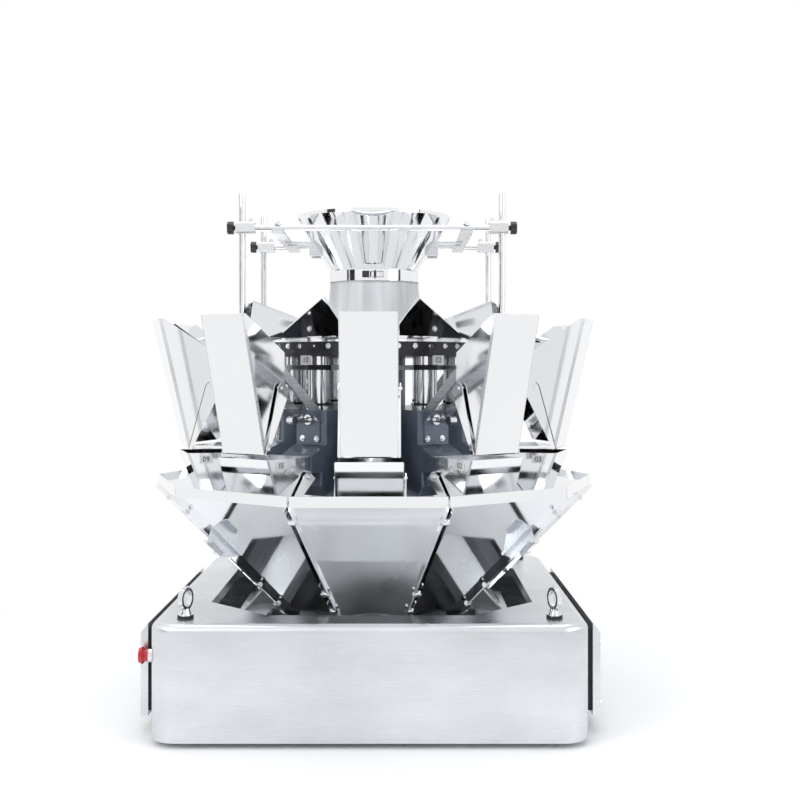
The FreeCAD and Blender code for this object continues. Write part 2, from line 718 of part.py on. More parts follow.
def post_arms():
    """Flat arms from the column neck out to the posts, with a socket each."""
    solids = []
    for x, y in post_places():
        azimuth = math.degrees(math.atan2(x, -y))
        reach = math.hypot(x, y)
        arm = box(-16, 16, -reach, -NECK_R + 8, POST_ARM_Z - POST_ARM_T, POST_ARM_Z)
        pad = Part.makeCylinder(18.0, POST_ARM_T, V(0, -reach, POST_ARM_Z - POST_ARM_T))
        arm = turned(arm.fuse(pad).removeSplitter(), azimuth)
        solids.append(arm)
    return solids


def frame_bars():
    """Front and rear round bars between the posts."""
    solids = []
    for y in (-POST_Y, POST_Y):
        reach = POST_X - CLAMP_IN
        solids.append(cylinder(BAR_R, V(-reach, y, BAR_Z), V(reach, y, BAR_Z)))
    return Part.makeCompound(solids)


def post_clamps():
    """Split blocks that hold the bars on the posts."""
    solids = []
    for x, y in post_places():
        side = 1 if x > 0 else -1
        ends = sorted((x + side * CLAMP_OUT, x - side * CLAMP_IN))
        block = box(ends[0], ends[1], y - CLAMP_W / 2, y + CLAMP_W / 2,
                    BAR_Z - CLAMP_H / 2, BAR_Z + CLAMP_H / 2)
        edges = [e for e in block.Edges if abs(e.tangentAt(e.FirstParameter).x) > 0.9]
        block = block.makeChamfer(3.0, edges)
        solids.append(block.cut(Part.makeCylinder(POST_R, CLAMP_H + 2, V(x, y, BAR_Z - CLAMP_H / 2 - 1))))
    return Part.makeCompound(solids)


def clamp_knobs():
    """Star knobs on the outer ends of the clamps."""
    solids = []
    for x, y in post_places():
        side = 1 if x > 0 else -1
        start = V(x + side * CLAMP_OUT, y, BAR_Z)
        stem = cylinder(KNOB_R * 0.4, start, start + V(side * KNOB_GAP, 0, 0))
        star = []
        for i in range(20):
            r = KNOB_R if i % 4 in (0, 1) else KNOB_R * 0.76
            a = math.radians(18 * i)
            star.append(start + V(side * KNOB_GAP, r * math.cos(a), r * math.sin(a)))
        head = Part.Face(Part.makePolygon(star + star[:1])).extrude(V(side * KNOB_T, 0, 0))
        solids.append(fused([stem, head]))
    return Part.makeCompound(solids)


def side_bars():
    """Flat bars bolted under the round bars, one on each side."""
    z0 = BAR_Z - BAR_R
    half = SIDE_BAR_W / 2
    solids = []
    for side in (-1, 1):
        x = side * SIDE_BAR_X
        solids.append(box(x - half, x + half, -POST_Y - 16, POST_Y + 16, z0 - SIDE_BAR_T, z0))
    return Part.makeCompound(solids)


def funnel_brackets():
    """Folded straps from the side bars to the funnel wall, two on each side."""
    z1 = BAR_Z - BAR_R - SIDE_BAR_T
    wall = Part.makeCone(FUNNEL_LOW_R, FUNNEL_TOP_R, FUNNEL_H - FUNNEL_RIM, V(0, 0, BAND_Z1))
    inner = funnel_wall_r(z1 - 40) - 4
    solids = []
    for side in (-1, 1):
        for y in (-34, 34):
            strap = box(inner, SIDE_BAR_X, y - 9, y + 9, z1 - 4, z1)
            tongue = box(inner, funnel_wall_r(z1) + 3, y - 9, y + 9, z1 - 34, z1)
            whole = fused([strap, tongue])
            if side < 0:
                whole = whole.mirror(V(0, 0, 0), V(1, 0, 0))
            solids += whole.cut(wall).Solids
    return Part.makeCompound(solids)


# ---------------------------------------------------------------- export

def main():
    export(base_housing(), "base_housing")
    export(base_floor(), "base_floor")
    export(base_beams(), "base_beams")
    for side, word in ((-1, "left"), (1, "right")):
        cover, seal = side_cover(side)
        export(cover, "side_cover_" + word)
        export(seal, "cover_gasket_" + word)
    collar, button = emergency_stop()
    export(collar, "stop_collar")
    export(button, "stop_button")
    export(levelling_feet(), "levelling_feet")
    export(lifting_eyes(), "lifting_eyes")
    export(chute_panels(), "chute_panels")
    export(chute_catches(), "chute_catches")
    export(chute_outlet(), "chute_outlet")
    export(chute_saddles(), "chute_saddles")
    hub = column()
    export(hub, "centre_column")
    export(support_legs(hub), "support_legs")
    azimuths = head_azimuths()
    export(around(drive_unit(hub), azimuths), "drive_units")
    export(around(gate_actuators(), azimuths), "gate_actuators")
    export(around(vibrator(), azimuths), "vibrators")
    export(vibrator_ring(), "vibrator_ring")
    export(around(feeder_pan(), azimuths), "feeder_pans")
    export(dispersion_cone(), "dispersion_cone")
    export(around(feed_hopper(), azimuths), "feed_hoppers")
    export(around(weigh_hopper(), azimuths), "weigh_hoppers")
    export(around(hopper_arms(), azimuths), "hopper_arms")
    for i, azimuth in enumerate(azimuths):
        export(turned(feed_gate(), azimuth), "feed_gate_%02d" % (i + 1))
        export(turned(weigh_gate(), azimuth), "weigh_gate_%02d" % (i + 1))
    export(infeed_sleeve(), "infeed_sleeve")
    export(clamp_band(), "clamp_band")
    export(infeed_funnel(), "infeed_funnel")
    export(frame_posts(), "frame_posts")
    arms = [arm.cut(hub) for arm in post_arms()]
    export(Part.makeCompound(arms), "post_arms")
    export(frame_bars(), "frame_bars")
    export(post_clamps(), "post_clamps")
    export(clamp_knobs(), "clamp_knobs")
    export(side_bars(), "side_bars")
    export(funnel_brackets(), "funnel_brackets")


main()
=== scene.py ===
"""Builds the looks of a ten-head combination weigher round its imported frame."""

import json
import math

import bmesh
import bpy
from mathutils import Matrix, Vector


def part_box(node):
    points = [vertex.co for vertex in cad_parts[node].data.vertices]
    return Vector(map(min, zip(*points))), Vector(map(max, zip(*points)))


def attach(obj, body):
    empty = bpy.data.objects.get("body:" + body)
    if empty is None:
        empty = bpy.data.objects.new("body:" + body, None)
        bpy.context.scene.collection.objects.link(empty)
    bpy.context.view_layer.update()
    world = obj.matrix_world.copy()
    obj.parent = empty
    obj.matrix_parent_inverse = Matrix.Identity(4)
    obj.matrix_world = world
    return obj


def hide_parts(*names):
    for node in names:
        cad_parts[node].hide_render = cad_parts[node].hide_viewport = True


bl_info = {
    "name": "Combination weigher",
    "version": (1, 0, 0),
    "blender": (4, 5, 0),
    "location": "View3D > Sidebar > Weigher",
    "description": "Dresses a ten-head combination weigher: finishes, fasteners, numbers and studio",
    "category": "Object",
}

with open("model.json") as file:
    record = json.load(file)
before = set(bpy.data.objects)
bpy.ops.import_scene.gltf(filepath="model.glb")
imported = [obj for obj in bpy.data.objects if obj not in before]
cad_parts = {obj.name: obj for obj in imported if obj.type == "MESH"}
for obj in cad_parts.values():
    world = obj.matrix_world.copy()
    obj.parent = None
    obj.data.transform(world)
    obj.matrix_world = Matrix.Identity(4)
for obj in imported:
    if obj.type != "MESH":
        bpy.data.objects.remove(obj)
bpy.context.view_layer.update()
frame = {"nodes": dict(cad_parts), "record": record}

HEADS = 10
PITCH = 2 * math.pi / HEADS
MACHINE = "machine"

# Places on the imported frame, in metres. Radii and heights are those of head 1,
# which faces the front; an edge or a line is (radius, height) from end to end.
FEED_WALL = 0.060
FEED_EDGE = ((0.540, 0.919), (0.472, 0.618))
FEED_FOLD = 0.008
WEIGH_WALL = 0.072
WEIGH_EDGE = ((0.476, 0.605), (0.428, 0.478))
WEIGH_FOLD = 0.006
FOLD_PROUD = 0.0016
LABEL_R = 0.432
LABEL_Z = (0.582, 0.600)
LABEL_FIGURES = 0.017
RING_R = 0.262
RING_SCREW_Z = 0.856
RING_SCREWS_PER_HEAD = 4
RING_LABEL_HALF = 0.016
RING_LABEL_Z = (0.812, 0.834)
RING_FIGURES = 0.018
DRIVE_FACE_R = 0.249
COVER_SCREW_X = 0.022
COVER_SCREW_Z = (0.640, 0.689)
CHIN_R = 0.300
CHIN_SCREW_Z = 0.581
CHIN_SPREAD = 1.6
VIBRATOR_R = 0.214
VIBRATOR_BANDS = ((0.716, 0.722), (0.800, 0.812))
BAND_R = 0.0282
CHUTE_LOW = (0.230, 0.212)
CHUTE_RISE = (0.310, 0.306)
CHUTE_OUT = (0, -0.70, -0.714)
PIN_SHARES = (0.14, 0.30, 0.90)
HOOK_SHARE = 0.64
BAR_Z = 1.131
POST = (0.303, 0.212)
STRAP_X = 0.220
CLAMP_BOLT = (POST[0] - 0.021, BAR_Z + 0.013)
BAR_BOLT = (STRAP_X, BAR_Z + 0.0065)
STRAP_BOLT_Y = 0.055
STRAP_BOLT_Z = BAR_Z - 0.007
SLEEVE_R = 0.1105
SLEEVE_FLARE = 0.010
SLEEVE_FOLD = 0.0017
SLEEVE_WALL = 0.0014
EYE = 0.400
DECK_Z = 0.262


# ------------------------------------------------------------ properties

class WeigherFinish(bpy.types.PropertyGroup):
    """Colours and gloss of the machine's surfaces."""
    sheet_colour: bpy.props.FloatVectorProperty(
        name="Polished sheet", description="Colour of mirror-polished stainless sheet",
        subtype="COLOR", size=3, min=0.0, max=1.0, default=(0.88, 0.89, 0.905))
    brushed_colour: bpy.props.FloatVectorProperty(
        name="Brushed sheet", description="Colour of brushed stainless sheet",
        subtype="COLOR", size=3, min=0.0, max=1.0, default=(0.70, 0.72, 0.75))
    cast_colour: bpy.props.FloatVectorProperty(
        name="Castings", description="Blue-grey paint of the drive castings",
        subtype="COLOR", size=3, min=0.0, max=1.0, default=(0.20, 0.235, 0.30))
    button_colour: bpy.props.FloatVectorProperty(
        name="Stop button", description="Red of the stop button",
        subtype="COLOR", size=3, min=0.0, max=1.0, default=(0.55, 0.012, 0.016))
    sheet_roughness: bpy.props.FloatProperty(
        name="Sheet roughness", description="Roughness of polished sheet",
        min=0.0, max=1.0, default=0.07, subtype="FACTOR")


class WeigherSizes(bpy.types.PropertyGroup):
    """Sizes of the small fittings."""
    bolt_head: bpy.props.FloatProperty(
        name="Bolt head", description="Across the head of a small screw",
        default=0.009, min=0.003, max=0.03, unit="LENGTH")
    label_width: bpy.props.FloatProperty(
        name="Label width", description="Width of a head's number label",
        default=0.030, min=0.01, max=0.08, unit="LENGTH")
    floor_size: bpy.props.FloatProperty(
        name="Floor size", description="Side of the studio floor",
        default=14.0, min=3.0, max=40.0, unit="LENGTH")


def finish():
    """The scene's colours and gloss."""
    return bpy.context.scene.weigher_finish


def sizes():
    """The scene's fitting sizes."""
    return bpy.context.scene.weigher_sizes


# ------------------------------------------------------------ node helpers

def new_material(name):
    """An empty material with one shader wired to its output."""
    material = bpy.data.materials.new(name)
    material.use_nodes = True
    tree = material.node_tree
    tree.nodes.clear()
    out = tree.nodes.new("ShaderNodeOutputMaterial")
    shader = tree.nodes.new("ShaderNodeBsdfPrincipled")
    tree.links.new(shader.outputs["BSDF"], out.inputs["Surface"])
    return material, tree, shader


def object_coords(tree, scale=(1.0, 1.0, 1.0)):
    """Object coordinates, stretched by a scale."""
    coords = tree.nodes.new("ShaderNodeTexCoord")
    mapping = tree.nodes.new("ShaderNodeMapping")
    mapping.inputs["Scale"].default_value = scale
    tree.links.new(coords.outputs["Object"], mapping.inputs["Vector"])
    return mapping.outputs["Vector"]


def noise(tree, vector, scale, detail=4.0, roughness=0.5):
    """A noise pattern's value."""
    node = tree.nodes.new("ShaderNodeTexNoise")
    node.inputs["Scale"].default_value = scale
    node.inputs["Detail"].default_value = detail
    node.inputs["Roughness"].default_value = roughness
    tree.links.new(vector, node.inputs["Vector"])
    return node.outputs["Fac"]


def ramp(tree, value, low, high, x0=0.3, x1=0.7):
    """Maps a value between x0 and x1 to low and high."""
    node = tree.nodes.new("ShaderNodeMapRange")
    node.inputs["From Min"].default_value = x0
    node.inputs["From Max"].default_value = x1
    node.inputs["To Min"].default_value = low
    node.inputs["To Max"].default_value = high
    tree.links.new(value, node.inputs["Value"])
    return node.outputs["Result"]


def tint(tree, value, dark, light):
    """Maps a pattern's value to a colour between two."""
    node = tree.nodes.new("ShaderNodeValToRGB")
    node.color_ramp.elements[0].position = 0.3
    node.color_ramp.elements[1].position = 0.7
    node.color_ramp.elements[0].color = (*dark, 1.0)
    node.color_ramp.elements[1].color = (*light, 1.0)
    tree.links.new(value, node.inputs["Fac"])
    return node.outputs["Color"]


def bump(tree, height, shader, distance, strength=1.0):
    """Lets a pattern raise a finish's surface."""
    node = tree.nodes.new("ShaderNodeBump")
    node.inputs["Distance"].default_value = distance
    node.inputs["Strength"].default_value = strength
    tree.links.new(height, node.inputs["Height"])
    tree.links.new(node.outputs["Normal"], shader.inputs["Normal"])


def shade(colour, factor):
    """A colour made darker or lighter by a factor."""
    return tuple(min(1.0, c * factor) for c in colour)


def surface(tree, shader, pattern, dark, light, smooth, rough):
    """Lets one pattern drive a finish's colour and its roughness."""
    tree.links.new(tint(tree, pattern, dark, light), shader.inputs["Base Color"])
    tree.links.new(ramp(tree, pattern, smooth, rough), shader.inputs["Roughness"])


# ------------------------------------------------------------ finishes

def polished_sheet():
    """Mirror-polished stainless sheet with a faint waviness and handling haze."""
    material, tree, shader = new_material("polished_sheet")
    colour = tuple(finish().sheet_colour)
    place = object_coords(tree)
    haze = noise(tree, place, 7.0, 5.0, 0.6)
    rough = finish().sheet_roughness
    surface(tree, shader, haze, shade(colour, 0.97), colour, rough * 0.6, rough * 1.5)
    shader.inputs["Metallic"].default_value = 1.0
    bump(tree, noise(tree, place, 3.2, 1.0), shader, 0.0012, 0.35)
    return material


def brushed_sheet():
    """Brushed stainless sheet; the grain runs level round the machine."""
    material, tree, shader = new_material("brushed_sheet")
    colour = tuple(finish().brushed_colour)
    grain = noise(tree, object_coords(tree, (6.0, 6.0, 900.0)), 1.0, 3.0, 0.65)
    cloud = noise(tree, object_coords(tree, (1.0, 1.0, 2.0)), 3.0, 4.0, 0.55)
    mix = tree.nodes.new("ShaderNodeMath")
    mix.operation = "MULTIPLY_ADD"
    mix.inputs[1].default_value = 0.35
    tree.links.new(grain, mix.inputs[0])
    tree.links.new(ramp(tree, cloud, 0.15, 0.5), mix.inputs[2])
    tree.links.new(tint(tree, mix.outputs[0], shade(colour, 0.86), shade(colour, 1.1)),
                   shader.inputs["Base Color"])
    tree.links.new(ramp(tree, grain, 0.22, 0.38), shader.inputs["Roughness"])
    shader.inputs["Metallic"].default_value = 1.0
    shader.inputs["Anisotropic"].default_value = 0.5
    bump(tree, grain, shader, 0.00012, 0.3)
    return material


def chrome():
    """Bright polished rod and ring stock."""
    material, tree, shader = new_material("bright_chrome")
    smear = noise(tree, object_coords(tree), 40.0, 3.0)
    surface(tree, shader, smear, (0.70, 0.71, 0.73), (0.82, 0.83, 0.85), 0.05, 0.14)
    shader.inputs["Metallic"].default_value = 1.0
    return material


def cast_paint():
    """Blue-grey paint over castings with a fine orange-peel."""
    material, tree, shader = new_material("cast_paint")
    colour = tuple(finish().cast_colour)
    place = object_coords(tree)
    cloud = noise(tree, place, 14.0, 5.0, 0.6)
    peel = noise(tree, place, 420.0, 2.0)
    surface(tree, shader, cloud, shade(colour, 0.8), shade(colour, 1.15), 0.26, 0.42)
    shader.inputs["Metallic"].default_value = 0.35
    shader.inputs["Coat Weight"].default_value = 0.25
    bump(tree, peel, shader, 0.0003, 0.3)
    return material


def dark_enamel():
    """Black satin enamel of the vibrator ring."""
    material, tree, shader = new_material("dark_enamel")
    place = object_coords(tree)
    cloud = noise(tree, place, 25.0, 5.0)
    surface(tree, shader, cloud, (0.012, 0.012, 0.014), (0.035, 0.036, 0.040), 0.22, 0.42)
    bump(tree, noise(tree, place, 300.0, 2.0), shader, 0.0002, 0.3)
    return material


def satin_alloy():
    """Bead-blasted light alloy clamps."""
    material, tree, shader = new_material("satin_alloy")
    place = object_coords(tree)
    grain = noise(tree, place, 600.0, 2.0)
    surface(tree, shader, grain, (0.62, 0.63, 0.64), (0.80, 0.81, 0.82), 0.3, 0.45)
    shader.inputs["Metallic"].default_value = 0.9
    bump(tree, grain, shader, 0.0001, 0.4)
    return material


def black_rubber():
    """Matt black rubber seal."""
    material, tree, shader = new_material("black_rubber")
    dust = noise(tree, object_coords(tree), 60.0, 5.0)
    surface(tree, shader, dust, (0.010, 0.010, 0.011), (0.030, 0.030, 0.032), 0.6, 0.85)
    return material


def black_plastic():
    """Moulded black plastic with a fine grain."""
    material, tree, shader = new_material("black_plastic")
    grain = noise(tree, object_coords(tree), 900.0, 2.0)
    surface(tree, shader, grain, (0.012, 0.012, 0.013), (0.028, 0.028, 0.031), 0.35, 0.5)
    bump(tree, grain, shader, 0.0001, 0.4)
    return material


def red_plastic():
    """Glossy red of the stop button."""
    material, tree, shader = new_material("red_plastic")
    colour = tuple(finish().button_colour)
    wear = noise(tree, object_coords(tree), 90.0, 4.0)
    surface(tree, shader, wear, shade(colour, 0.85), colour, 0.22, 0.34)
    shader.inputs["Coat Weight"].default_value = 0.4
    return material


def frosted_plastic():
    """Frosted clear sleeve with soft upright ripples."""
    material, tree, shader = new_material("frosted_plastic")
    ripple = noise(tree, object_coords(tree, (26.0, 26.0, 1.5)), 1.0, 2.0)
    surface(tree, shader, ripple, (0.60, 0.62, 0.64), (0.93, 0.94, 0.95), 0.25, 0.5)
    shader.inputs["Transmission Weight"].default_value = 0.35
    shader.inputs["IOR"].default_value = 1.4
    bump(tree, ripple, shader, 0.004, 0.5)
    return material


def dull_brass():
    """Brass foot pads, dull with handling."""
    material, tree, shader = new_material("dull_brass")
    tarnish = noise(tree, object_coords(tree), 45.0, 5.0)
    surface(tree, shader, tarnish, (0.33, 0.24, 0.12), (0.60, 0.46, 0.24), 0.3, 0.5)
    shader.inputs["Metallic"].default_value = 0.9
    return material


def white_label():
    """White printed label stock."""
    material, tree, shader = new_material("white_label")
    grain = noise(tree, object_coords(tree), 500.0, 2.0)
    surface(tree, shader, grain, (0.80, 0.81, 0.82), (0.90, 0.90, 0.90), 0.4, 0.5)
    return material


def black_ink():
    """Printed figures."""
    material, tree, shader = new_material("black_ink")
    grain = noise(tree, object_coords(tree), 800.0, 2.0)
    surface(tree, shader, grain, (0.006, 0.006, 0.006), (0.02, 0.02, 0.02), 0.5, 0.65)
    return material


FINISHES = {
    "mirror_steel": polished_sheet,
    "brushed_steel": brushed_sheet,
    "chrome_parts": chrome,
    "cast_grey": cast_paint,
    "dark_metal": dark_enamel,
    "light_metal": satin_alloy,
    "black_rubber": black_rubber,
    "black_plastic": black_plastic,
    "red_plastic": red_plastic,
    "frosted_plastic": frosted_plastic,
    "brass_pads": dull_brass,
    "white_label": white_label,
    "black_ink": black_ink,
}


def material_for(slot):
    """The finish of a slot, made once."""
    made = bpy.data.materials.get(FINISHES[slot].__name__ + "_finish")
    if made is None:
        made = FINISHES[slot]()
        made.name = FINISHES[slot].__name__ + "_finish"
    return made


# ------------------------------------------------------------ mesh helpers

def head_turn(index):
    """Turns head 1 to the place of a head counted from 0."""
    return Matrix.Rotation(PITCH * index, 4, "Z")


def add_box(bm, low, high):
    """A box between two corners."""
    low = Vector(low)
    high = Vector(high)
    matrix = Matrix.Translation((low + high) / 2) @ Matrix.Diagonal((*(high - low), 1.0))
    bmesh.ops.create_cube(bm, size=1.0, matrix=matrix)


def add_rod(bm, start, end, radius, segments=16, radius_end=None):
    """A closed round or faceted bar from one point to another."""
    start = Vector(start)
    axis = Vector(end) - start
    turn = axis.to_track_quat("Z", "Y").to_matrix().to_4x4()
    matrix = Matrix.Translation(start + axis / 2) @ turn
    bmesh.ops.create_cone(
        bm, cap_ends=True, segments=segments, radius1=radius,
        radius2=radius if radius_end is None else radius_end,
        depth=axis.length, matrix=matrix)


def add_bolt(bm, at, out, across, turn=None):
    """Hexagon head on a washer, facing along out."""
    at = Vector(at)
    out = Vector(out).normalized()
    if turn is not None:
        at = turn @ at
        out = turn.to_3x3() @ out
    add_rod(bm, at, at + out * across * 0.12, across * 0.78, 20)
    add_rod(bm, at + out * across * 0.12, at + out * across * 0.6, across * 0.55, 6)


def add_prism(bm, outline, x0, x1, turn):
    """A prism of head 1 from a (radius, height) outline, turned to its head."""
    rings = [[bm.verts.new(turn @ Vector((x, -r, z))) for r, z in outline] for x in (x0, x1)]
    bm.faces.new(rings[0])
    bm.faces.new(rings[1][::-1])
    count = len(outline)
    for i in range(count):
        j = (i + 1) % count
        bm.faces.new((rings[0][i], rings[0][j], rings[1][j], rings[1][i]))


def add_figures(bm, words, place, height):
    """Plain figures laid on a matrix whose Z points off the surface."""
    curve = bpy.data.curves.new("figures", "FONT")
    curve.body = words
    curve.size = height
    curve.extrude = 0.0002
    curve.align_x = "CENTER"
    curve.align_y = "CENTER"
    holder = bpy.data.objects.new("figures", curve)
    mesh = bpy.data.meshes.new_from_object(holder)
    mesh.transform(place)
    bm.from_mesh(mesh)
    bpy.data.objects.remove(holder)
    bpy.data.curves.remove(curve)
    bpy.data.meshes.remove(mesh)


def outline_between(r0, r1, heights):
    """An upright rectangle of head 1 from two radii and two heights."""
    z0, z1 = heights
    return [(r0, z0), (r1, z0), (r1, z1), (r0, z1)]


def facing(at, out, turn):
    """A matrix at a point of head 1 whose Z looks along out, its Y upwards."""
    out = Vector(out).normalized()
    up = Vector((0, 0, 1))
    right = up.cross(out)
    basis = Matrix((right, up, out)).transposed().to_4x4()
    return turn @ Matrix.Translation(Vector(at)) @ basis


def piece_from(bm, name, slot, body=MACHINE, smooth=False):
    """Turns a bmesh into a finished piece that rides on a body."""
    mesh = bpy.data.meshes.new(name)
    bmesh.ops.recalc_face_normals(bm, faces=bm.faces)
    bm.to_mesh(mesh)
    bm.free()
    for polygon in mesh.polygons:
        polygon.use_smooth = smooth
    piece = bpy.data.objects.new(name, mesh)
    bpy.context.scene.collection.objects.link(piece)
    mesh.materials.append(material_for(slot))
    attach(piece, body)
    return piece


# ------------------------------------------------------------ operators

class WEIGHER_OT_dress_frame(bpy.types.Operator):
    """Give every node of the frame its finish"""
    bl_idname = "weigher.dress_frame"
    bl_label = "Dress the frame"

    def execute(self, context):
        slots = {s["node"]: s["material_slot"] for s in frame["record"]["subparts"]}
        for name, node in frame["nodes"].items():
            node.data.materials.clear()
            node.data.materials.append(material_for(slots[name]))
        return {"FINISHED"}


class WEIGHER_OT_hopper_folds(bpy.types.Operator):
    """Fold the side edges of the hoppers' outer plates"""
    bl_idname = "weigher.hopper_folds"
    bl_label = "Hopper folds"

    def execute(self, context):
        bm = bmesh.new()
        hoppers = ((FEED_WALL, FEED_EDGE, FEED_FOLD), (WEIGH_WALL, WEIGH_EDGE, WEIGH_FOLD))
        for head in range(HEADS):
            turn = head_turn(head)
            for wall, (top, low), fold in hoppers:
                outline = [top, (top[0] - fold, top[1]), (low[0] - fold, low[1]), low]
                for side in (-1, 1):
                    ends = sorted((side * wall, side * (wall + FOLD_PROUD)))
                    add_prism(bm, outline, ends[0], ends[1], turn)
        piece_from(bm, "hopper_folds", "brushed_steel")
        return {"FINISHED"}


class WEIGHER_OT_number_labels(bpy.types.Operator):
    """Put the plain head numbers on the hoppers and under the ring"""
    bl_idname = "weigher.number_labels"
    bl_label = "Number labels"

    def execute(self, context):
        width = sizes().label_width
        plates = bmesh.new()
        inks = bmesh.new()
        for head in range(HEADS):
            turn = head_turn(head)
            words = "%02d" % (head + 1)
            for side in (-1, 1):
                x = side * (WEIGH_WALL + 0.0001)
                ends = sorted((x, x + side * 0.001))
                outline = outline_between(LABEL_R - width / 2, LABEL_R + width / 2, LABEL_Z)
                add_prism(plates, outline, ends[0], ends[1], turn)
                place = facing((x + side * 0.0011, -LABEL_R, sum(LABEL_Z) / 2), (side, 0, 0), turn)
                add_figures(inks, words, place, LABEL_FIGURES)
            outline = outline_between(RING_R + 0.0002, RING_R + 0.0014, RING_LABEL_Z)
            add_prism(plates, outline, -RING_LABEL_HALF, RING_LABEL_HALF, turn)
            place = facing((0, -RING_R - 0.0015, sum(RING_LABEL_Z) / 2), (0, -1, 0), turn)
            add_figures(inks, words, place, RING_FIGURES)
        piece_from(plates, "label_plates", "white_label")
        piece_from(inks, "label_figures", "black_ink")
        return {"FINISHED"}


class WEIGHER_OT_drive_screws(bpy.types.Operator):
    """Screw the covers to the drives and the ring to the vibrators"""
    bl_idname = "weigher.drive_screws"
    bl_label = "Drive screws"

    def execute(self, context):
        bm = bmesh.new()
        across = sizes().bolt_head
        for head in range(HEADS):
            turn = head_turn(head)
            for x in (-COVER_SCREW_X, COVER_SCREW_X):
                for z in COVER_SCREW_Z:
                    add_bolt(bm, (x, -DRIVE_FACE_R, z), (0, -1, 0), across, turn)
                chin = (x * CHIN_SPREAD, -CHIN_R, CHIN_SCREW_Z)
                add_bolt(bm, chin, (0, -1, 0), across * 0.9, turn)
        piece_from(bm, "drive_screws", "chrome_parts")
        ring = bmesh.new()
        for i in range(RING_SCREWS_PER_HEAD * HEADS):
            turn = Matrix.Rotation(PITCH * (i + 0.5) / RING_SCREWS_PER_HEAD, 4, "Z")
            add_bolt(ring, (0, -RING_R, RING_SCREW_Z), (0, -1, 0), across * 0.9, turn)
        piece_from(ring, "ring_screws", "chrome_parts")
        bands = bmesh.new()
        for head in range(HEADS):
            turn = head_turn(head)
            for z0, z1 in VIBRATOR_BANDS:
                low = turn @ Vector((0, -VIBRATOR_R, z0))
                high = turn @ Vector((0, -VIBRATOR_R, z1))
                add_rod(bands, low, high, BAND_R, 32)
        piece_from(bands, "vibrator_bands", "black_rubber")
        return {"FINISHED"}


class WEIGHER_OT_frame_bolts(bpy.types.Operator):
    """Bolt the infeed frame's bars, straps and clamps"""
    bl_idname = "weigher.frame_bolts"
    bl_label = "Frame bolts"

    def execute(self, context):
        bright = bmesh.new()
        dark = bmesh.new()
        for sx in (-1, 1):
            for sy in (-1, 1):
                y = sy * POST[1]
                for x, z in (CLAMP_BOLT, BAR_BOLT):
                    at = Vector((sx * x, y, z))
                    add_rod(bright, at, at + Vector((0, 0, 0.003)), 0.0085, 24)
                    neck = at + Vector((0, 0, 0.003))
                    add_rod(bright, neck, at + Vector((0, 0, 0.009)), 0.0062, 24, 0.004)
            for y in (-STRAP_BOLT_Y, STRAP_BOLT_Y):
                at = Vector((sx * STRAP_X, y, STRAP_BOLT_Z))
                add_rod(dark, at, at + Vector((0, 0, 0.002)), 0.011, 24)
                add_rod(dark, at + Vector((0, 0, 0.002)), at + Vector((0, 0, 0.009)), 0.0075, 6)
        piece_from(bright, "frame_bolts", "chrome_parts")
        piece_from(dark, "strap_bolts", "black_plastic")
        return {"FINISHED"}


class WEIGHER_OT_band_toggle(bpy.types.Operator):
    """Put the toggle and its loop on the clamp band"""
    bl_idname = "weigher.band_toggle"
    bl_label = "Band toggle"

    def execute(self, context):
        low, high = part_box("clamp_band")
        front = low[1]
        middle = (low[2] + high[2]) / 2
        dark = bmesh.new()
        add_box(dark, (-0.026, front - 0.0035, middle - 0.008),
                (-0.004, front + 0.0002, middle + 0.008))
        add_box(dark, (0.002, front - 0.005, middle - 0.0095),
                (0.008, front + 0.0002, middle + 0.0095))
        bmesh.ops.bevel(dark, geom=dark.edges[:], offset=0.0012, segments=2, affect="EDGES")
        piece_from(dark, "band_lever", "black_plastic")
        bright = bmesh.new()
        y = front - 0.003
        for z in (middle - 0.0065, middle + 0.0065):
            add_rod(bright, (-0.008, y, z), (0.026, y, z), 0.0016, 12)
        for x in (-0.008, 0.026):
            add_rod(bright, (x, y, middle - 0.0065), (x, y, middle + 0.0065), 0.0016, 12)
        add_box(bright, (0.014, front - 0.002, middle - 0.0045),
                (0.024, front + 0.0002, middle + 0.0045))
        piece_from(bright, "band_loop", "chrome_parts")
        return {"FINISHED"}


class WEIGHER_OT_seam_hooks(bpy.types.Operator):
    """Pin the chute's seams and hang the hooks on its catches"""
    bl_idname = "weigher.seam_hooks"
    bl_label = "Seam hooks"

    def seam_place(self, share):
        """A point up a seam, from its low end to the lip."""
        return Vector((0, -CHUTE_LOW[0] - CHUTE_RISE[0] * share,
                       CHUTE_LOW[1] + CHUTE_RISE[1] * share))

    def execute(self, context):
        pins = bmesh.new()
        hooks = bmesh.new()
        out = Vector(CHUTE_OUT)
        for seam in range(HEADS):
            turn = Matrix.Rotation(PITCH * (seam + 0.5), 4, "Z")
            for share in PIN_SHARES:
                at = self.seam_place(share) + out * 0.0095
                for reach, radius, sides in ((0.010, 0.0045, 6), (0.0075, 0.0065, 20)):
                    step = Vector((reach, 0, 0))
                    add_rod(pins, turn @ (at - step), turn @ (at + step), radius, sides)
            if seam % 5 in (1, 3):
                at = self.seam_place(HOOK_SHARE) + out * 0.024
                for x in (-0.007, 0.007):
                    start = at + Vector((x, 0.012, -0.012))
                    end = start + Vector((0, -0.030, 0.0296))
                    add_rod(hooks, turn @ start, turn @ end, 0.0022, 12)
                for middle, reach, radius in ((Vector((0, 0.012, -0.012)), 0.022, 0.004),
                                              (Vector((0, -0.018, 0.0176)), 0.010, 0.0035)):
                    step = Vector((reach, 0, 0))
                    add_rod(hooks, turn @ (at + middle - step), turn @ (at + middle + step),
                            radius, 16)
        piece_from(pins, "seam_pins", "chrome_parts")
        piece_from(hooks, "seam_hooks", "chrome_parts")
        return {"FINISHED"}


